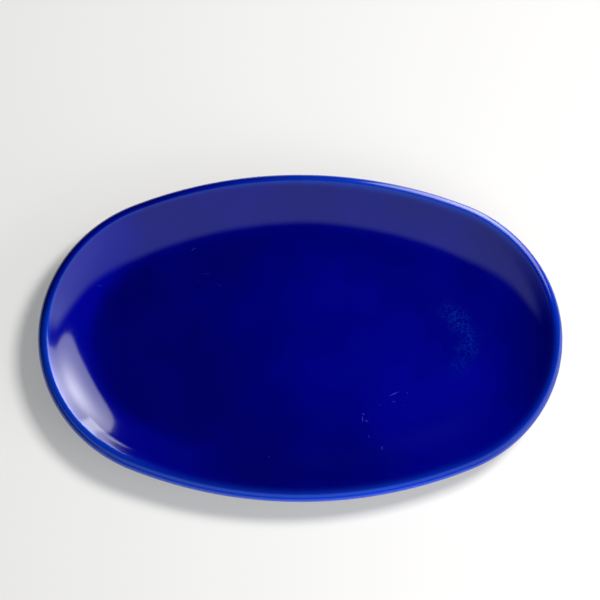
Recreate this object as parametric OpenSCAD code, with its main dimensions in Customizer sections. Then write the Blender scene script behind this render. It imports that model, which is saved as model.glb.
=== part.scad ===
// Oval serving platter in glazed stoneware.
// One clay slab makes the floor and the curved wall, which ends in a rolled lip. An oval foot ring is joined under
// the floor, and a glass coat covers everything but the bare foot.
// The plan is a four-arc oval, set out on a 5-12-13 triangle: two end arcs and two side arcs that meet on common
// tangents. It lies face up with its length along X. The origin is on the table, under the middle of the foot.

/* [Plan] */
// Overall length, over the lip
length = 356; // [320:2:400]
// Overall width, over the lip
width = 236; // [214:2:266]

/* [Dish] */
// Thickness of the clay slab, in the floor and in the wall
slab_t = 5; // [4:0.5:7]
// Radius of the curve of the wall, on the inside of the clay
wall_radius = 70.5; // [58:0.5:80]
// Slope of the wall at the lip, in degrees
lip_slope = 38; // [34:1:44]
// Length of the straight top of the wall, from the end of its curve to the middle of the roll
wall_flare = 5.5; // [4:0.5:7.5]
// How far the rolled lip stands out from the back of the wall
lip_out = 3.5; // [2.5:0.1:4.5]
// How far the inside of the wall cuts into the roll, which leaves the lip a crisp inner edge
lip_trim = 0.3; // [0.2:0.1:1]
// Radius of the hollow under the roll
lip_hollow = 6; // [3:0.5:10]

/* [Foot] */
// Height of the foot ring
foot_h = 4.5; // [4:0.5:8]
// Width of the foot ring
foot_w = 6; // [4:0.5:9]
// Distance of the foot ring from the edge of the flat floor
foot_set = 3; // [2.5:0.5:8]
// Radius of the fillet where the foot ring meets the floor
foot_fillet = 1.5; // [1:0.1:2]
// Radius of the lower edges of the foot ring
foot_round = 1; // [0.5:0.1:1.3]

/* [Glaze] */
// Thickness of the glaze
glaze_t = 0.5; // [0.3:0.05:0.8]
// Height of the bare clay above the table
dry_line = 1.6; // [1.4:0.1:1.9]

/* [Hidden] */
$fn = 96;
// Surfaces that would only touch are made to cross by this much.
bite = 0.02;

// Plan: the end arcs have their centres at x = +-end_c, the side arcs at y = -+side_c. Two arcs meet on the line
// through their centres, which has the direction set_out.
set_out = [5, 12];
half_l = length / 2;
half_w = width / 2;
plan_unit = hundredth((half_l - half_w) / (set_out.x + set_out.y - norm(set_out)));
end_c = set_out.x * plan_unit;
side_c = set_out.y * plan_unit;
end_radius = half_l - end_c;
side_radius = end_radius + norm(set_out) * plan_unit;
// A length that goes past every edge of the platter
past = ceil(2 * length);

// Section: x is measured from the outermost edge, negative inwards, and y is the height above the table.
lip_radius = (slab_t + lip_out + lip_trim) / 2;
lip_x = -(lip_radius + glaze_t);
floor_top = foot_h + slab_t;
back_radius = wall_radius + slab_t;
// The middle of the roll, from the centre of the wall's curve: its distance, and its turn past the end of the curve
lip_drop = wall_radius + lip_radius - lip_trim;
lip_reach = norm([lip_drop, wall_flare]);
flare_turn = atan2(wall_flare, lip_drop);
wall_x = hundredth(lip_x - lip_reach * sin(lip_slope + flare_turn));
wall_y = floor_top + wall_radius;
lip_turn = asin((lip_x - wall_x) / lip_reach);
wall_end = lip_turn - flare_turn;
lip_y = wall_y - lip_reach * cos(lip_turn);
// The hollow under the roll lies against the roll and the back of the wall.
hollow_reach = back_radius + lip_hollow;
hollow_gap = lip_radius + lip_hollow;
hollow_turn = acos((pow(lip_reach, 2) + pow(hollow_reach, 2) - pow(hollow_gap, 2)) / (2 * lip_reach * hollow_reach));
foot_out = wall_x - foot_set;
foot_in = foot_out - foot_w;

clay_colour = [0.80, 0.74, 0.65];
glaze_colour = [0.02, 0.06, 0.42];

// Places that plan and section share are kept to a hundredth of a millimetre.
function hundredth(v) = round(v * 100) / 100;

// The direction from the centre of the wall's curve to a point of the wall that has this slope
function wall_dir(slope) = [sin(slope), -cos(slope)];

// What lies towards one end, outside the lines on which the arcs meet
module end_share() {
    ray = set_out * past;
    translate([end_c, 0]) polygon([[0, 0], [ray.x, -ray.y], [ray.y, 0], ray]);
}

// What lies towards one long side, between those lines, from a little past the middle
module side_share() {
    tip = [end_c, 0] + set_out * past;
    heel = [end_c, 0] - set_out;
    polygon([heel, tip, [-tip.x, tip.y], [-heel.x, heel.y]]);
}

// The flat oval, drawn in by inset
module oval(inset) {
    for (turn = [0, 180]) {
        rotate(turn) {
            intersection() {
                translate([end_c, 0]) circle(end_radius - inset);
                end_share();
            }
            intersection() {
                translate([0, -side_c]) circle(side_radius - inset);
                side_share();
            }
        }
    }
}

// Takes a section round the oval, about the centre of each arc in turn
module sweep() {
    for (turn = [0, 180]) {
        rotate([0, 0, turn]) {
            intersection() {
                translate([end_c, 0, 0]) rotate_extrude() translate([end_radius, 0]) children();
                linear_extrude(past, center = true) end_share();
            }
            intersection() {
                translate([0, -side_c, 0]) rotate_extrude() translate([side_radius, 0]) children();
                linear_extrude(past, center = true) side_share();
            }
        }
    }
}

// Sets a section that reaches far inwards out to a radius, and cuts it off at the axis
module to_axis(radius) {
    intersection() {
        translate([radius, 0]) children();
        translate([0, -past]) square([past, 2 * past]);
    }
}

// A solid oval with this section at its edge. Its ends are full turns, which lie within the sides as soon as they
// have passed the lines on which the arcs meet.
module solid_oval() {
    for (turn = [0, 180]) {
        rotate([0, 0, turn]) {
            translate([end_c, 0, 0]) rotate_extrude() to_axis(end_radius) children();
            intersection() {
                translate([0, -side_c, 0]) rotate_extrude() to_axis(side_radius) children();
                linear_extrude(past, center = true) side_share();
            }
        }
    }
}

// Section of the lip, the wall and the edge of the floor as far as the foot, grown all over by skin
module wall_section(skin) {
    wedge = 2 * back_radius;
    // The curve goes on a little way inside the straight top, so that the two cross.
    wedge_end = wall_end + flare_turn / 2;
    difference() {
        union() {
            translate([wall_x, wall_y]) {
                intersection() {
                    circle(back_radius + skin);
                    polygon([[0, 0], wall_dir(0) * wedge, wall_dir(wedge_end) * wedge]);
                }
                flare(back_radius + skin, wall_flare);
            }
            translate([lip_x, lip_y]) circle(lip_radius + skin);
            hollow_section(skin);
        }
        translate([wall_x, wall_y]) {
            circle(wall_radius - skin);
            flare(wall_radius - skin, past);
        }
    }
    translate([foot_out, foot_h - skin]) square([foot_set, slab_t + 2 * skin]);
}

// What lies over the straight top of the wall, which carries on from the curve of this radius about the origin
module flare(radius, run) {
    out = wall_dir(wall_end) * radius;
    along = wall_dir(wall_end + 90) * run;
    polygon([[0, 0], out, out + along, along]);
}

// What fills the corner under the roll, down to the hollow
module hollow_section(skin) {
    wall_c = [wall_x, wall_y];
    hollow_dir = wall_dir(lip_turn - hollow_turn);
    hollow_c = wall_c + hollow_dir * hollow_reach;
    difference() {
        polygon([[lip_x, lip_y], hollow_c, wall_c + hollow_dir * (wall_radius + slab_t / 2)]);
        translate(hollow_c) circle(lip_hollow - skin + bite);
    }
}

// What a round of radius r leaves of a square corner at the origin
module corner(r) {
    difference() {
        square(r);
        translate([r, r]) circle(r);
    }
}

// The foot as a solid block above a height, grown by skin, with the fillet that leads out to the floor
module foot_section(low, skin) {
    translate([foot_out + skin - past, low]) square([past, foot_h - low]);
    translate([foot_out + skin, foot_h - skin]) mirror([0, 1]) corner(foot_fillet - skin);
}

// The space inside the foot above a height, drawn in by skin, with the fillet that leads in to the floor
module well_section(low, skin) {
    difference() {
        translate([foot_in - skin - past, low]) square([past, foot_h - skin - low]);
        translate([foot_in - skin, foot_h - skin]) rotate(180) corner(foot_fillet - skin);
    }
}

module dish_body() {
    color(clay_colour)
        union() {
            sweep() wall_section(0);
            translate([0, 0, foot_h]) linear_extrude(slab_t) oval(-wall_x);
        }
}

module foot_ring() {
    color(clay_colour)
        difference() {
            solid_oval()
                difference() {
                    foot_section(0, 0);
                    translate([foot_out, 0]) mirror([1, 0]) corner(foot_round);
                }
            solid_oval() {
                well_section(-foot_h, 0);
                translate([foot_in, 0]) corner(foot_round);
            }
        }
}

module glaze_coat() {
    color(glaze_colour)
        union() {
            sweep()
                difference() {
                    union() {
                        wall_section(glaze_t);
                        foot_section(dry_line, glaze_t);
                    }
                    wall_section(0);
                    foot_section(0, 0);
                }
            translate([0, 0, floor_top]) linear_extrude(glaze_t) oval(-wall_x);
        }
}

module foot_well_glaze() {
    color(glaze_colour)
        difference() {
            solid_oval() well_section(dry_line, 0);
            solid_oval() well_section(0, glaze_t);
        }
}

dish_body();
foot_ring();
glaze_coat();
foot_well_glaze();
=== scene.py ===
import math

import bmesh
import bpy
from mathutils import Matrix, Vector


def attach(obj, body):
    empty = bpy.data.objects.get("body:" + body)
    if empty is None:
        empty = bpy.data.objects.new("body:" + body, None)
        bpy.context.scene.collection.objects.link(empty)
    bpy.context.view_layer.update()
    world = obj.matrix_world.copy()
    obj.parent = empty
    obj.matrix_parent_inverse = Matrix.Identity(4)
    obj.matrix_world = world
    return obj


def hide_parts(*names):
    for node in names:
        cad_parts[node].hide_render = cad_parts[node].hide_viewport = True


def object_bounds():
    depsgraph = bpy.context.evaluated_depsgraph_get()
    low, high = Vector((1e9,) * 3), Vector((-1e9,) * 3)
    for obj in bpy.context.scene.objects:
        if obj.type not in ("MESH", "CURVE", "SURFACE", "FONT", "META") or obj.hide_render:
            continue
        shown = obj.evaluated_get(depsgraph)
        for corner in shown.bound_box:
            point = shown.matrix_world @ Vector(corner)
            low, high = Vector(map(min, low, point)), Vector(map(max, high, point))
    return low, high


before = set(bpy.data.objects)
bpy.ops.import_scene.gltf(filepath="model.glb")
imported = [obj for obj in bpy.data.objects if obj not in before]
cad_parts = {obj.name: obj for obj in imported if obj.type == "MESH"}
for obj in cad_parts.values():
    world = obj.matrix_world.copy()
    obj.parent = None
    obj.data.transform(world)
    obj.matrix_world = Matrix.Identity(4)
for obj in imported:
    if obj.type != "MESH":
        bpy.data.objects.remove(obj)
cadLow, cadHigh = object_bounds()
print("frame: loaded")

mm = 0.001
closeBy = 0.002 * mm  # points nearer than this count as one
smoothAngle = 40  # degrees, sharper edges stay crisp

# the oval plan, in mm: end arcs about (+-endCentre, 0), side arcs about (0, -+sideCentre)
plan = {
    "edge": cadHigh.x / mm - 0.01,  # outermost place along X, a hair inside the frame's box
    "setOut": (5, 12),  # direction of the lines on which the arcs meet
    "unit": 15.0,
    "endSteps": 40,
    "sideSteps": 76,
}
plan["endTurn"] = math.degrees(math.atan2(plan["setOut"][1], plan["setOut"][0]))
plan["endCentre"] = plan["setOut"][0] * plan["unit"]
plan["sideCentre"] = plan["setOut"][1] * plan["unit"]
plan["endRadius"] = plan["edge"] - plan["endCentre"]
plan["sideRadius"] = plan["endRadius"] + math.hypot(plan["endCentre"], plan["sideCentre"])


# drawing a section in the XZ plane, places are (inset from the edge, height) in mm

def place(spot):
    return ((plan["edge"] - spot[0]) * mm, 0.0, spot[1] * mm)


def startSection(name, spot):
    bpy.ops.object.select_all(action="DESELECT")
    bpy.ops.mesh.primitive_plane_add(size=mm)
    piece = bpy.context.object
    piece.name = name
    piece.data.name = name
    bpy.ops.object.mode_set(mode="EDIT")
    bpy.ops.mesh.select_mode(type="VERT")
    bpy.ops.mesh.select_all(action="SELECT")
    bpy.ops.mesh.merge(type="CENTER")  # one loose point to draw from
    bpy.ops.transform.translate(value=place(spot))
    return piece


def drawArc(centre, degrees, steps):
    # degrees above 0 turn from outwards to upwards
    turn = math.radians(degrees)
    bpy.ops.mesh.spin(steps=steps, angle=turn, center=place(centre), axis=(0, 1, 0))


def drawLine(inwards, upwards):
    move = {"value": (-inwards * mm, 0, upwards * mm)}
    bpy.ops.mesh.extrude_region_move(TRANSFORM_OT_translate=move)


def spinRound():
    # takes the section round the four arcs, starting at the middle of one end
    half = plan["endTurn"]
    side = 180 - 2 * half
    rounds = [
        ((plan["endCentre"], 0), half, plan["endSteps"]),
        ((0, -plan["sideCentre"]), side, plan["sideSteps"]),
        ((-plan["endCentre"], 0), 2 * half, 2 * plan["endSteps"]),
        ((0, plan["sideCentre"]), side, plan["sideSteps"]),
        ((plan["endCentre"], 0), half, plan["endSteps"]),
    ]
    bpy.ops.mesh.select_all(action="SELECT")
    for centre, degrees, steps in rounds:
        middle = (centre[0] * mm, centre[1] * mm, 0)
        turn = math.radians(degrees)
        bpy.ops.mesh.spin(steps=steps, angle=turn, center=middle, axis=(0, 0, -1))
    bpy.ops.mesh.select_all(action="SELECT")
    bpy.ops.mesh.remove_doubles(threshold=closeBy)
    bpy.ops.mesh.normals_make_consistent(inside=False)


def pickEdges(piece, height, openOnly):
    # selects the edges that lie level at a height
    bpy.ops.mesh.select_mode(type="EDGE")
    bpy.ops.mesh.select_all(action="DESELECT")
    work = bmesh.from_edit_mesh(piece.data)
    for edge in work.edges:
        level = all(abs(v.co.z - height * mm) < closeBy for v in edge.verts)
        edge.select = level and (edge.is_boundary or not openOnly)
    work.select_flush_mode()
    bmesh.update_edit_mesh(piece.data)


def fillMiddle(piece, height, span):
    # closes the open oval at a height with a grid
    pickEdges(piece, height, True)
    bpy.ops.mesh.fill_grid(span=span)


def applyModifier(piece, kind, settings):
    made = piece.modifiers.new(kind.lower(), kind)
    for key, value in settings.items():
        setattr(made, key, value)
    bpy.ops.object.modifier_apply(modifier=made.name)


def makeUneven(piece, name, d):
    # slight waves from the hand, only ever inwards
    waves = bpy.data.textures.new(name, "CLOUDS")
    waves.noise_scale = d["unevenSize"] * mm
    waves.noise_depth = d["unevenDetail"]
    settings = {"texture": waves, "texture_coords": "LOCAL", "mid_level": 1.0}
    settings["strength"] = d["uneven"] * mm
    applyModifier(piece, "DISPLACE", settings)


def finishPiece(piece, node, finish):
    piece.data.materials.clear()
    piece.data.materials.append(finish)
    bpy.ops.object.shade_smooth_by_angle(angle=math.radians(smoothAngle))
    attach(piece, "root")
    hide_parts(node)
    print(piece.name + ":", len(piece.data.polygons), "faces")


# the glaze over the dish, from the floor over the lip to the dry edge on the foot
dish = {
    "floorEdge": (55.16, 10.0),
    "floorSpan": 78,
    "wallCentre": (55.16, 80.0),
    "wallRadius": 70.0,
    "wallSteps": 28,
    "flare": 5.5,  # straight top of the wall
    "flareSteps": 4,
    "lipCentre": (4.9, 24.598),
    "lipRadius": 4.9,
    "lipSteps": 30,
    "arrisRound": 0.5,  # inner edge of the lip
    "arrisSteps": 3,
    "hollowRadius": 5.5,
    "hollowSteps": 6,
    "backRadius": 76.0,
    "backSteps": 18,
    "filletCentre": (56.66, 3.0),
    "filletSteps": 5,
    "flank": 1.4,
    "glaze": 0.5,
    "uneven": 0.14,
    "unevenSize": 70,
    "unevenDetail": 1,
}


def corner(a, b, c):
    # angle in degrees between sides a and b of a triangle whose third side is c
    return math.degrees(math.acos((a * a + b * b - c * c) / (2 * a * b)))


def makeGlazeCoat(finish):
    d = dish
    wall, lip = d["wallCentre"], d["lipCentre"]
    reach = math.dist(wall, lip)
    lipTurn = math.degrees(math.asin((wall[0] - lip[0]) / reach))
    slope = lipTurn - math.degrees(math.asin(d["flare"] / reach))
    # the wall goes straight on from the end of its curve to the roll of the lip
    depth = math.sqrt(reach ** 2 - d["flare"] ** 2) - d["wallRadius"]
    rollTurn = math.degrees(math.acos(depth / d["lipRadius"]))
    rollStart = 90 + slope - rollTurn
    run = d["flare"] + d["lipRadius"] * math.sin(math.radians(rollTurn))
    runIn = -run / d["flareSteps"] * math.cos(math.radians(slope))
    runUp = run / d["flareSteps"] * math.sin(math.radians(slope))
    # the hollow under the lip touches the roll and the back
    hollowReach = d["backRadius"] + d["hollowRadius"]
    hollowGap = d["lipRadius"] + d["hollowRadius"]
    backSlope = lipTurn - corner(reach, hollowReach, hollowGap)
    turn = math.radians(backSlope)
    hollow = (wall[0] - hollowReach * math.sin(turn), wall[1] - hollowReach * math.cos(turn))
    rollEnd = math.degrees(math.atan2(hollow[1] - lip[1], lip[0] - hollow[0]))

    coat = startSection("glaze_coat_finish", d["floorEdge"])
    drawArc(wall, slope, d["wallSteps"])
    for _ in range(d["flareSteps"]):
        drawLine(runIn, runUp)
    drawArc(lip, rollEnd - rollStart, d["lipSteps"])
    drawArc(hollow, 90 + backSlope - (180 + rollEnd), d["hollowSteps"])
    drawArc(wall, -backSlope, d["backSteps"])
    drawLine(d["filletCentre"][0] - wall[0], 0)
    drawArc(d["filletCentre"], 90, d["filletSteps"])
    drawLine(0, -d["flank"])
    spinRound()

    pickEdges(coat, lip[1] + d["lipRadius"] * math.sin(math.radians(rollStart)), False)
    bpy.ops.mesh.bevel(offset=d["arrisRound"] * mm, segments=d["arrisSteps"], affect="EDGES")
    fillMiddle(coat, d["floorEdge"][1], d["floorSpan"])
    bpy.ops.object.mode_set(mode="OBJECT")
    makeUneven(coat, "handWaves", d)
    applyModifier(coat, "SOLIDIFY", {"thickness": d["glaze"] * mm, "offset": -1})
    finishPiece(coat, "glaze_coat", finish)


# the bare foot that the dish stands on
foot = {
    "outside": 58.16,
    "width": 6.0,
    "height": 4.5,
    "round": 1.0,
    "roundSteps": 6,
    "soleSteps": 3,
    "uneven": 0.05,
    "unevenSize": 6,
    "unevenDetail": 2,
}


def makeFootRing(finish):
    d = foot
    flank = (d["height"] - d["round"]) / 2
    sole = (d["width"] - 2 * d["round"]) / d["soleSteps"]
    ring = startSection("foot_ring_finish", (d["outside"], d["height"]))
    drawLine(0, -flank)
    drawLine(0, -flank)
    drawArc((d["outside"] + d["round"], d["round"]), -90, d["roundSteps"])
    for _ in range(d["soleSteps"]):
        drawLine(sole, 0)
    drawArc((d["outside"] + d["width"] - d["round"], d["round"]), -90, d["roundSteps"])
    drawLine(0, flank)
    drawLine(0, flank)
    drawLine(-d["width"], 0)  # back to the start across the hidden top
    spinRound()
    bpy.ops.object.mode_set(mode="OBJECT")
    makeUneven(ring, "footGrit", d)
    finishPiece(ring, "foot_ring", finish)


# the glaze under the floor, inside the foot
well = {
    "edge": 64.66,
    "dryLine": 1.6,
    "filletRadius": 1.0,
    "filletSteps": 5,
    "ceiling": 4.0,
    "floorSpan": 78,
    "glaze": 0.5,
    "uneven": 0.10,
    "unevenSize": 50,
    "unevenDetail": 1,
}


def makeFootWell(finish):
    d = well
    shoulder = d["ceiling"] - d["filletRadius"]
    under = startSection("foot_well_finish", (d["edge"], d["dryLine"]))
    drawLine(0, shoulder - d["dryLine"])
    drawArc((d["edge"] + d["filletRadius"], shoulder), 90, d["filletSteps"])
    spinRound()
    fillMiddle(under, d["ceiling"], d["floorSpan"])
    bpy.ops.mesh.select_all(action="SELECT")
    bpy.ops.mesh.flip_normals()  # the glazed face looks down
    bpy.ops.object.mode_set(mode="OBJECT")
    makeUneven(under, "wellWaves", d)
    applyModifier(under, "SOLIDIFY", {"thickness": d["glaze"] * mm, "offset": -1})
    finishPiece(under, "foot_well_glaze", finish)


# shader formulas

class Wire:
    def __init__(self, tree, socket=None):
        self.tree = tree
        self.socket = socket

    def node(self, kind, settings, sockets, outlet=0):
        made = self.tree.nodes.new(kind)
        for key, value in settings.items():
            if key == "stops":
                self.setStops(made.color_ramp.elements, value)
            else:
                setattr(made, key, value)
        for key, value in sockets.items():
            if isinstance(value, Wire):
                self.tree.links.new(value.socket, made.inputs[key])
            else:
                made.inputs[key].default_value = value
        return Wire(self.tree, made.outputs[outlet]) if made.outputs else None

    def setStops(self, elements, stops):
        while len(elements) < len(stops):
            elements.new(1.0)
        for element, (position, colour) in zip(elements, stops):
            element.position = position
            element.color = colour

    def outlet(self, name):
        # another output of the same node
        return Wire(self.tree, self.socket.node.outputs[name])

    def axes(self):
        parts = self.node("ShaderNodeSeparateXYZ", {}, {"Vector": self})
        return [parts.outlet(name) for name in "XYZ"]

    def math(self, operation, *values):
        return self.node("ShaderNodeMath", {"operation": operation}, dict(enumerate(values)))

    def __add__(self, other):
        return self.math("ADD", self, other)

    def __sub__(self, other):
        return self.math("SUBTRACT", self, other)

    def __rsub__(self, other):
        return self.math("SUBTRACT", other, self)

    def __mul__(self, other):
        return self.math("MULTIPLY", self, other)

    def __pow__(self, other):
        return self.math("POWER", self, other)

    def __gt__(self, other):
        return self.math("GREATER_THAN", self, other)

    __radd__ = __add__
    __rmul__ = __mul__

    def abs(self):
        return self.math("ABSOLUTE", self)

    def over(self, other):
        return self.math("MAXIMUM", self, other)

    def hypot(self, other):
        return self.math("SQRT", self ** 2 + other ** 2)

    def fade(self, start, end):
        # 0 at start and 1 at end, soft at both
        sockets = {"Value": self, "From Min": start, "From Max": end}
        return self.node("ShaderNodeMapRange", {"interpolation_type": "SMOOTHSTEP"}, sockets)

    def blend(self, first, second):
        # this value takes a colour from the first to the second
        sockets = {0: self, 6: first, 7: second}
        return self.node("ShaderNodeMix", {"data_type": "RGBA"}, sockets, 2)


def newMaterial(name):
    made = bpy.data.materials.new(name)
    made.use_nodes = True
    made.node_tree.nodes.clear()
    return made, Wire(made.node_tree)


def noise(wire, where, size, detail, rough=0.5):
    # size is the width of a blotch in mm
    sockets = {"Vector": where, "Scale": 1 / (size * mm), "Detail": detail, "Roughness": rough}
    return wire.node("ShaderNodeTexNoise", {}, sockets)


def cells(wire, where, apart):
    # distance to scattered points that lie about this far apart in mm
    sockets = {"Vector": where, "Scale": 1 / (apart * mm)}
    return wire.node("ShaderNodeTexVoronoi", {}, sockets)


def towards(x, y, way):
    # grows in a direction over the dish, between two distances in mm
    ahead, aside, start, end = way
    return (x * ahead + y * aside).fade(start, end)


def around(x, y, spot):
    # grows towards a spot on the dish, between two distances in mm
    spotX, spotY, far, near = spot
    return (x - spotX).hypot(y - spotY).fade(far, near)


def closeMaterial(wire, look, colour, rough, height):
    sockets = {"Strength": look["bump"], "Distance": look["bumpDepth"] * mm, "Height": height}
    normal = wire.node("ShaderNodeBump", {}, sockets)
    sockets = {"Base Color": colour, "Roughness": rough, "IOR": look["ior"], "Normal": normal}
    surface = wire.node("ShaderNodeBsdfPrincipled", {}, sockets)
    wire.node("ShaderNodeOutputMaterial", {}, {"Surface": surface})


glazeLook = {
    "deep": (0.0003, 0.0004, 0.125, 1),  # pooled; the darker left is painted shade from the drift
    "light": (0.0004, 0.0008, 0.260, 1),  # thinner clouds
    "thin": (0.002, 0.026, 0.340, 1),  # over the roll of the lip
    "break": (0.003, 0.036, 0.420, 1),  # thinnest, just inside the lip
    "paintedLitLip": (0.003, 0.050, 0.620, 1),  # painted light: both, paler where light falls on the near left
    "haze": (0.001, 0.030, 0.330, 1),  # cloudy bow on the floor
    "scuff": (0.045, 0.080, 0.560, 1),
    "pit": (0.0002, 0.0003, 0.060, 1),

    # directions over the dish (x, y), then where each starts and where it is full
    "shadedSide": (-0.5, 0.8, 60, 130),  # painted shade: the lip is darker on the far left, turned away from the light
    # painted light: the lip is paler on the near left, where light falls on it
    "litNearSide": (-0.4, -0.9, 20, 90),
    "nearRim": (-0.2, -1.0, 30, 85),  # alike to the left and right
    "rightRim": (1.0, -0.5, 90, 150),
    # painted light: paler on the left wall, which faces the light
    "litLeftWall": (-0.9, -0.3, 60, 130),
    # painted light: paler on the far wall, which faces the pale near side of the room
    "litFarWall": (0.3, 1.0, 40, 100),  # alike to the left and right
    # spots (x, y), then the distances at which each starts and is full
    # painted light: a paler pool towards the near right
    "litNearRight": (100, -68, 80, 15),
    "middle": (15, -5, 90, 10),
    "wallFade": (10.5, 15),  # heights at which the floor turns into the wall
    "faceHeight": 5,  # what lies above is the face or the back, not the foot

    # the roll of the lip: distance from its skin, inset of its inner edge and inner half
    "rollFade": (0.5, -0.1),
    "rollEnd": (6.7, 5.9),
    "rollInner": (1.5, 6.5),
    "rollShade": 0.95,
    "rollRim": 0.9,
    # the band just inside the lip
    "breakSpot": (6.6, 29.1),
    "breakFade": (7.5, -1.0),
    "breakNarrow": 3.5,
    "breakPower": 2.5,
    "breakRag": 1.5,
    "breakShade": 0.4,
    "breakRim": 0.85,
    # the dry edge on the foot
    "dryFade": (2.3, 1.7),
    "dryRag": 0.8,
    "ragSize": 9,

    # how much each of these makes the blue paler: clouds and mottle as thinner glaze, the
    # drift, the left and far walls and the near right as painted light and shade
    "base": 0.18,
    "cloudShare": 0.27,
    "cloudSize": 45,
    "cloudFade": (0.35, 0.7),
    "mottleShare": 0.2,
    "mottleSize": 1.3,
    # painted shade: darker to the left and paler to the right, as the light falls off
    "paintedDrift": (0.00134, -0.001005),  # for each mm along x and y
    "driftWall": 0.7,
    "leftShare": 0.8,
    "farShare": 0.35,
    "nearRightShare": 0.7,
    "middleShare": 0.3,

    # the bow
    "bowSpot": (91.0, -1.5),
    "bowRadius": 24.5,
    "bowWide": 11,
    "bowRag": 16,
    "bowOpen": (-4, 18),
    "bowNear": (-32, 0),
    "bowMottle": (0.4, 0.7),
    "bowShare": 0.5,

    "scuffReach": 0.55,
    "scuffFade": (1.0, 0.2),
    "pitApart": 24,
    "pitFade": (0.020, 0.010),
    "pitPick": 0.72,

    # gloss
    "rough": 0.08,
    "roughSpread": 0.02,
    "scuffRough": 0.4,
    "pitRough": 0.3,
    "rippleSize": 1.6,
    "rippleShare": 0.25,
    "waveSize": 12,
    "pitDepth": 2,
    "bump": 0.12,
    "bumpDepth": 0.1,
    "ior": 1.5,
}

# scuffs on the floor in mm: both ends, width, strength
scuffs = [
    (59.4, -39.4, 67.5, -35.4, 0.50, 0.45),
    (72.0, -36.5, 72.9, -37.1, 0.60, 0.35),
    (61.2, -42.9, 65.0, -43.1, 0.90, 0.18),
    (53.2, -45.3, 54.2, -45.9, 0.60, 0.22),
    (70.2, -45.6, 71.0, -46.1, 0.60, 0.22),
    (41.5, -51.6, 43.3, -52.2, 0.55, 0.60),
    (41.7, -53.0, 41.8, -57.8, 0.45, 0.60),
    (43.3, -55.7, 45.9, -57.8, 0.65, 0.40),
    (45.8, -66.2, 45.9, -69.4, 0.55, 0.22),
    (54.6, -75.0, 54.2, -78.9, 0.60, 0.32),
    (-75.6, 66.5, -71.3, 69.1, 0.50, 0.22),
    (-68.9, 49.7, -60.2, 50.9, 0.45, 0.13),
    (-69.9, 45.3, -69.5, 43.6, 0.50, 0.13),
    (-57.6, 42.8, -53.6, 40.9, 0.45, 0.12),
    (-139.8, 39.1, -135.3, 39.7, 0.50, 0.18),
    (-139.2, 28.0, -138.4, 28.2, 0.55, 0.18),
    (-130.6, 27.8, -129.9, 28.0, 0.50, 0.12),
    (-22.2, -82.9, -21.2, -83.3, 0.65, 0.40),
    (-22.0, -86.5, -21.4, -86.9, 0.50, 0.20),
]


def ovalInset(across, along):
    # inset from the edge of the oval, in the quarter where both are above 0
    fromEnd = across - plan["endCentre"]
    atEnd = fromEnd * plan["setOut"][1] > along * plan["setOut"][0]
    endOut = fromEnd.hypot(along) - plan["endRadius"]
    sideOut = across.hypot(along + plan["sideCentre"]) - plan["sideRadius"]
    return 0 - (sideOut + (endOut - sideOut) * atEnd)


def scuffMarks(wire, where):
    look = glazeLook
    scuffed = None
    for ax, ay, bx, by, width, strength in scuffs:
        middle = ((ax + bx) / 2 * mm, (ay + by) / 2 * mm, 0)
        turn = (0, 0, math.atan2(by - ay, bx - ax))
        size = (math.hypot(bx - ax, by - ay) * look["scuffReach"] * mm, width * mm, 1)
        sockets = {"Vector": where, "Location": middle, "Rotation": turn, "Scale": size}
        local = wire.node("ShaderNodeMapping", {"vector_type": "TEXTURE"}, sockets)
        far = wire.node("ShaderNodeVectorMath", {"operation": "LENGTH"}, {0: local}, "Value")
        mark = far.fade(*look["scuffFade"]) * strength
        scuffed = mark if scuffed is None else scuffed.over(mark)
    return scuffed


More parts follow.
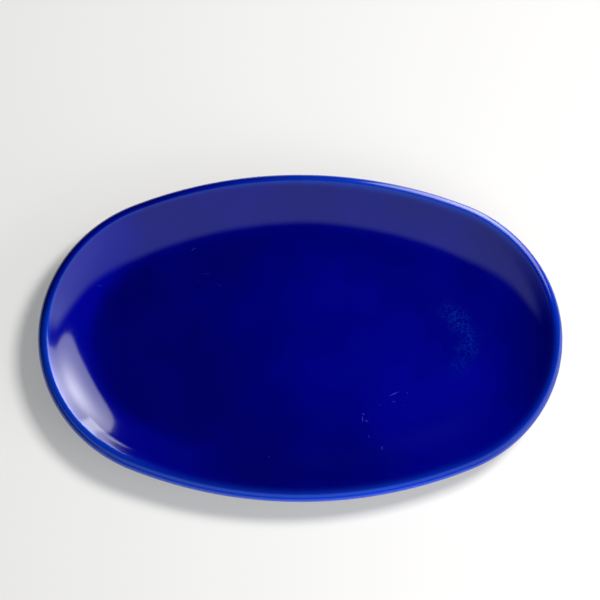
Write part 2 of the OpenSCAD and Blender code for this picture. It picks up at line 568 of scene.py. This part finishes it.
def makeGlaze():
    made, wire = newMaterial("cobaltGlaze")
    look = glazeLook
    where = wire.node("ShaderNodeTexCoord", {}, {}, "Object")
    x, y, z = [part * (1 / mm) for part in where.axes()]
    across = x.abs()
    inset = ovalInset(across, y.abs())
    onFace = z > look["faceHeight"]
    ragged = noise(wire, where, look["ragSize"], 3) - 0.5
    mottle = noise(wire, where, look["mottleSize"], 2)
    clouds = noise(wire, where, look["cloudSize"], 3).fade(*look["cloudFade"])

    # clouds and a fine mottle; a slow drift over the floor, darker to the left, which is
    # painted shade; paler left and far walls and a paler near right, which are painted light;
    # and paler towards the middle
    onWall = z.fade(*look["wallFade"])
    paintedDrift = (x * look["paintedDrift"][0] + y * look["paintedDrift"][1]) * (1 - onWall * look["driftWall"])
    litLeftWall = towards(x, y, look["litLeftWall"]) * onWall * look["leftShare"]
    litFarWall = towards(across, y, look["litFarWall"]) * onWall * look["farShare"]
    litNearRight = around(x, y, look["litNearRight"]) * look["nearRightShare"]
    middle = around(x, y, look["middle"]) * look["middleShare"]
    speckled = (mottle - 0.5) * look["mottleShare"] + clouds * look["cloudShare"]
    thinnedAndLit = speckled + paintedDrift + litLeftWall + litFarWall + litNearRight + middle + look["base"]
    colour = thinnedAndLit.blend(look["deep"], look["light"])

    # a cloudy bow in the floor, open to the left
    bowX = x - look["bowSpot"][0]
    bowY = y - look["bowSpot"][1]
    bowFar = (bowX.hypot(bowY) - look["bowRadius"] + ragged * look["bowRag"]).abs()
    haze = bowFar.fade(look["bowWide"], 0) * bowX.fade(*look["bowOpen"])
    haze = haze * bowY.fade(*look["bowNear"]) * mottle.fade(*look["bowMottle"])
    colour = (haze * onFace * look["bowShare"]).blend(colour, look["haze"])

    # it breaks to a paler blue over the lip and at the dry edge on the foot
    inShade = towards(x, y, look["shadedSide"])
    litNearSide = towards(x, y, look["litNearSide"])
    # at the near side and on the right the paler blue stops short of the inner edge
    nearRim = towards(across, y, look["nearRim"]).over(towards(x, y, look["rightRim"]))
    lip = dish["lipCentre"]
    rollFar = (inset - lip[0]).hypot(z - lip[1]) - dish["lipRadius"]
    onRoll = rollFar.fade(*look["rollFade"]) * inset.fade(*look["rollEnd"])
    # painted shade: less of the paler colour on the far left of the roll
    onRoll = onRoll * (1 - inShade * look["rollShade"])
    onRoll = onRoll * (1 - inset.fade(*look["rollInner"]) * nearRim * look["rollRim"])
    dryEdge = (z + ragged * look["dryRag"]).fade(*look["dryFade"])
    thin = onRoll.over(dryEdge)
    # painted light: the roll is paler still on the near left
    colour = thin.blend(colour, litNearSide.blend(look["thin"], look["paintedLitLip"]))
    spot = look["breakSpot"]
    breakFar = (inset - spot[0]).hypot(z - spot[1]) + ragged * look["breakRag"]
    # painted shade: the band is narrower and weaker on the far left
    breakStart = look["breakFade"][0] - inShade * look["breakNarrow"]
    onBreak = breakFar.fade(breakStart, look["breakFade"][1]) ** look["breakPower"]
    onBreak = onBreak * (1 - inShade * look["breakShade"]) * (1 - nearRim * look["breakRim"])
    # painted light: the band is paler still on the near left
    colour = onBreak.blend(colour, litNearSide.blend(look["break"], look["paintedLitLip"]))

    scuffed = scuffMarks(wire, where) * onFace
    colour = scuffed.blend(colour, look["scuff"])
    # pinholes, a few to a hand's breadth
    pitFar = cells(wire, where, look["pitApart"])
    picked = pitFar.outlet("Color").axes()[0] > look["pitPick"]
    pits = pitFar.fade(*look["pitFade"]) * picked
    colour = pits.blend(colour, look["pit"])

    # gloss, with a little waviness from the firing
    rough = look["rough"] + (clouds - 0.5 + mottle) * look["roughSpread"]
    rough = rough + scuffed * look["scuffRough"] + pits * look["pitRough"]
    ripple = noise(wire, where, look["rippleSize"], 2) * look["rippleShare"]
    height = ripple + noise(wire, where, look["waveSize"], 2) - pits * look["pitDepth"]
    closeMaterial(wire, look, colour, rough, height)
    return made


clayLook = {
    "buff": (0.52, 0.41, 0.29, 1),
    "pale": (0.64, 0.53, 0.40, 1),
    "speck": (0.16, 0.09, 0.05, 1),
    "cloudSize": 14,
    "cloudShare": 0.7,
    "grainSize": 0.7,
    "grainShare": 0.5,
    "grainRough": 0.6,
    "paleFade": (0.35, 0.85),
    "speckApart": 2.6,
    "speckFade": (0.20, 0.12),
    "patchSize": 5,  # specks come in patches
    "patchFade": (0.5, 0.6),
    "rough": 0.82,
    "roughSpread": 0.2,
    "speckDepth": 0.5,
    "bump": 0.5,
    "bumpDepth": 0.08,
    "ior": 1.5,
}


def makeClay():
    made, wire = newMaterial("bareStoneware")
    look = clayLook
    where = wire.node("ShaderNodeTexCoord", {}, {}, "Object")
    clouds = noise(wire, where, look["cloudSize"], 3)
    grain = noise(wire, where, look["grainSize"], 3, look["grainRough"])
    patches = noise(wire, where, look["patchSize"], 1).fade(*look["patchFade"])
    specks = cells(wire, where, look["speckApart"]).fade(*look["speckFade"]) * patches
    pale = (clouds * look["cloudShare"] + grain * look["grainShare"]).fade(*look["paleFade"])
    colour = specks.blend(pale.blend(look["buff"], look["pale"]), look["speck"])
    rough = look["rough"] + (grain - 0.5) * look["roughSpread"]
    height = grain - specks * look["speckDepth"]
    closeMaterial(wire, look, colour, rough, height)
    return made


cobaltGlaze = makeGlaze()
bareClay = makeClay()
print("finishes: glaze and clay")

makeGlazeCoat(cobaltGlaze)
makeFootRing(bareClay)
makeFootWell(cobaltGlaze)
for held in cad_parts["dish_body"].material_slots:
    held.material = bareClay

# camera
view = {
    "place": (-0.02829, -0.61923, 1.71717),
    "turn": (20.8474, -0.8156, -0.3507),
    "lens": 159.37,
    "sight": 50,
}
turn = [math.radians(degrees) for degrees in view["turn"]]
bpy.ops.object.camera_add(location=view["place"], rotation=turn)
camera = bpy.context.object
camera.data.lens = view["lens"]
camera.data.clip_end = view["sight"]
bpy.context.scene.camera = camera
print("camera: set")


# lamps

def addPanel(name, d):
    bpy.ops.object.light_add(type="AREA", location=d["place"])
    panel = bpy.context.object
    panel.name = name
    panel.data.shape = "RECTANGLE"
    panel.data.size, panel.data.size_y = d["size"]
    panel.data.energy = d["radiance"] * math.pi * d["size"][0] * d["size"][1]
    across = Vector(d["side"]).normalized()
    upwards = Vector(d["rise"]).normalized()
    axes = Matrix((across, upwards, across.cross(upwards)))
    panel.rotation_euler = axes.transposed().to_euler()
    panel.visible_camera = False
    return panel


def startPattern(panel):
    # places across and up the panel go from -1 to 1
    panel.data.use_nodes = True
    panel.data.node_tree.nodes.clear()
    wire = Wire(panel.data.node_tree)
    spot = wire.node("ShaderNodeNewGeometry", {}, {}, "Parametric")
    across, upwards, _ = [part * 2 - 1 for part in spot.axes()]
    return wire, across, upwards


def closePattern(wire, strength):
    glow = wire.node("ShaderNodeEmission", {}, {"Strength": strength})
    wire.node("ShaderNodeOutputLight", {}, {"Surface": glow})


def linkGround(panel, table, state):
    # INCLUDE lights the ground alone, EXCLUDE everything but the ground
    lit = bpy.data.collections.new(panel.name + "Ground")
    lit.objects.link(table)
    lit.collection_objects[0].light_linking.link_state = state
    panel.light_linking.receiver_collection = lit


# softbox low behind on the right, brighter in its middle
softbox = {
    "place": (0.2534, 0.3633, 0.1899),
    "side": (-0.9136, 0.4053, 0.0336),
    "rise": (-0.2354, -0.5943, 0.7691),
    "size": (0.344, 0.474),
    "radiance": 1.0,
    "rim": 3.9,
    "core": 9.5,
    "coreSpot": (0.10, 0.02),
    "coreSize": (0.564, 0.477),
    "cornerPower": 3,
    "edgeFade": (1.1, 0.9),
}


def makeSoftbox():
    d = softbox
    panel = addPanel("softbox", d)
    wire, across, upwards = startPattern(panel)
    corners = across.abs() ** d["cornerPower"] + upwards.abs() ** d["cornerPower"]
    coreX = (across - d["coreSpot"][0]) * (1 / d["coreSize"][0])
    coreY = (upwards - d["coreSpot"][1]) * (1 / d["coreSize"][1])
    core = wire.math("EXPONENT", 0 - (coreX ** 2 + coreY ** 2))
    closePattern(wire, corners.fade(*d["edgeFade"]) * (d["rim"] + core * d["core"]))
    return panel


# three-cornered white card behind the softbox, lower to the left
card = {
    "place": (0.427, 1.31, 0.14),
    "side": (-0.92, 0.391, 0),
    "rise": (0, 0, 1),
    "size": (0.52, 0.28),
    "radiance": 1.0,
    "level": 4.5,
    "slant": (0.3, -0.2),
    "tip": (0.9, 0.2),
}


def makeCard():
    d = card
    wire, across, upwards = startPattern(addPanel("card", d))
    shape = (upwards + across).fade(*d["slant"]) * across.fade(*d["tip"])
    closePattern(wire, shape * d["level"])


# fill from the near right
fill = {
    "place": (0.58, -0.52, 0.33),
    "side": (0.668, 0.745, 0),
    "rise": (-0.2905, 0.2604, 0.9209),
    "size": (0.5, 0.5),
    "radiance": 6.9,
}
# wash over the ground alone, which throws the dish's shadow to the left
wash = {
    "place": (0.788, 0.287, 1.45),
    "side": (-0.342, 0.940, 0),
    "rise": (-0.8138, -0.2961, 0.5007),
    "size": (0.45, 0.45),
    "radiance": 66.0,
}


def makePlainLamp(name, d):
    panel = addPanel(name, d)
    panel.visible_glossy = False  # no glint of it in the glaze
    return panel


# the room: pale on the near side, brighter to the right, dark overhead
room = {
    "tilt": (0.934, 0.356),
    # how high the pale part reaches, from straight ahead to the far sides
    "edge": [
        (0.0, 0.045),
        (0.12, 0.085),
        (0.25, 0.15),
        (0.55, 0.17),
        (0.68, 0.205),
        (0.78, 0.27),
        (0.95, 0.41),
    ],
    "soft": 0.07,
    "level": 0.60,
    "sidePower": 4,
    "leftDrop": 0.22,
    "rightRise": 0.85,
    "rearRise": 3.2,
    # low down it is dark in front and on the left
    "frontDark": (0.5, 0.8),
    "leftDark": (0.6, 0.85),
    "lowDark": (0.6, 0.35),
    "tint": (0.94, 1.07, 1.08, 1),
}


def makeRoom():
    d = room
    world = bpy.data.worlds.new("room")
    bpy.context.scene.world = world
    world.use_nodes = True
    world.node_tree.nodes.clear()
    wire = Wire(world.node_tree)
    x, y, z = wire.node("ShaderNodeTexCoord", {}, {}, "Generated").axes()
    stops = [(position, (value, value, value, 1)) for position, value in d["edge"]]
    edge = wire.node("ShaderNodeValToRGB", {"stops": stops}, {"Fac": x.abs()})
    height = y * d["tilt"][0] + z * d["tilt"][1] - edge
    pale = height.fade(d["soft"], -d["soft"])
    right = x.over(0) ** d["sidePower"] * (d["rightRise"] + y.over(0) * d["rearRise"])
    left = (0 - x).over(0) ** d["sidePower"] * d["leftDrop"]
    outward = (0 - y).fade(*d["frontDark"]).over((0 - x).fade(*d["leftDark"]))
    shade = 1 - outward * z.fade(*d["lowDark"])
    strength = pale * shade * (d["level"] + right - left)
    sockets = {"Color": d["tint"], "Strength": strength}
    glow = wire.node("ShaderNodeBackground", {}, sockets)
    wire.node("ShaderNodeOutputWorld", {}, {"Surface": glow})


ground = {
    "size": 12.0,
    "drop": 0.1,  # mm below the foot
    "tone": (0.385, 0.375, 0.365, 1),
    "rough": 0.1,
    "glow": 0.28,
}


def makeGround():
    d = ground
    bpy.ops.mesh.primitive_plane_add(size=d["size"], location=(0, 0, -d["drop"] * mm))
    table = bpy.context.object
    table.name = "ground"
    made, wire = newMaterial("paleGround")
    sockets = {"Base Color": d["tone"], "Roughness": d["rough"]}
    matt = wire.node("ShaderNodeBsdfPrincipled", {}, sockets)
    # what the camera and the glaze see of the ground is a little paler than the light on it
    rays = wire.node("ShaderNodeLightPath", {}, {})
    seen = rays.outlet("Is Camera Ray") + rays.outlet("Is Glossy Ray")
    seen = seen + rays.outlet("Is Transmission Ray")
    glow = wire.node("ShaderNodeEmission", {}, {"Strength": seen * d["glow"]})
    surface = wire.node("ShaderNodeAddShader", {}, {0: matt, 1: glow})
    wire.node("ShaderNodeOutputMaterial", {}, {"Surface": surface})
    table.data.materials.append(made)
    return table


table = makeGround()
linkGround(makeSoftbox(), table, "EXCLUDE")
linkGround(makePlainLamp("wash", wash), table, "INCLUDE")
makeCard()
makePlainLamp("fill", fill)
makeRoom()
bpy.context.scene.view_settings.view_transform = "Standard"
print("studio: lit")
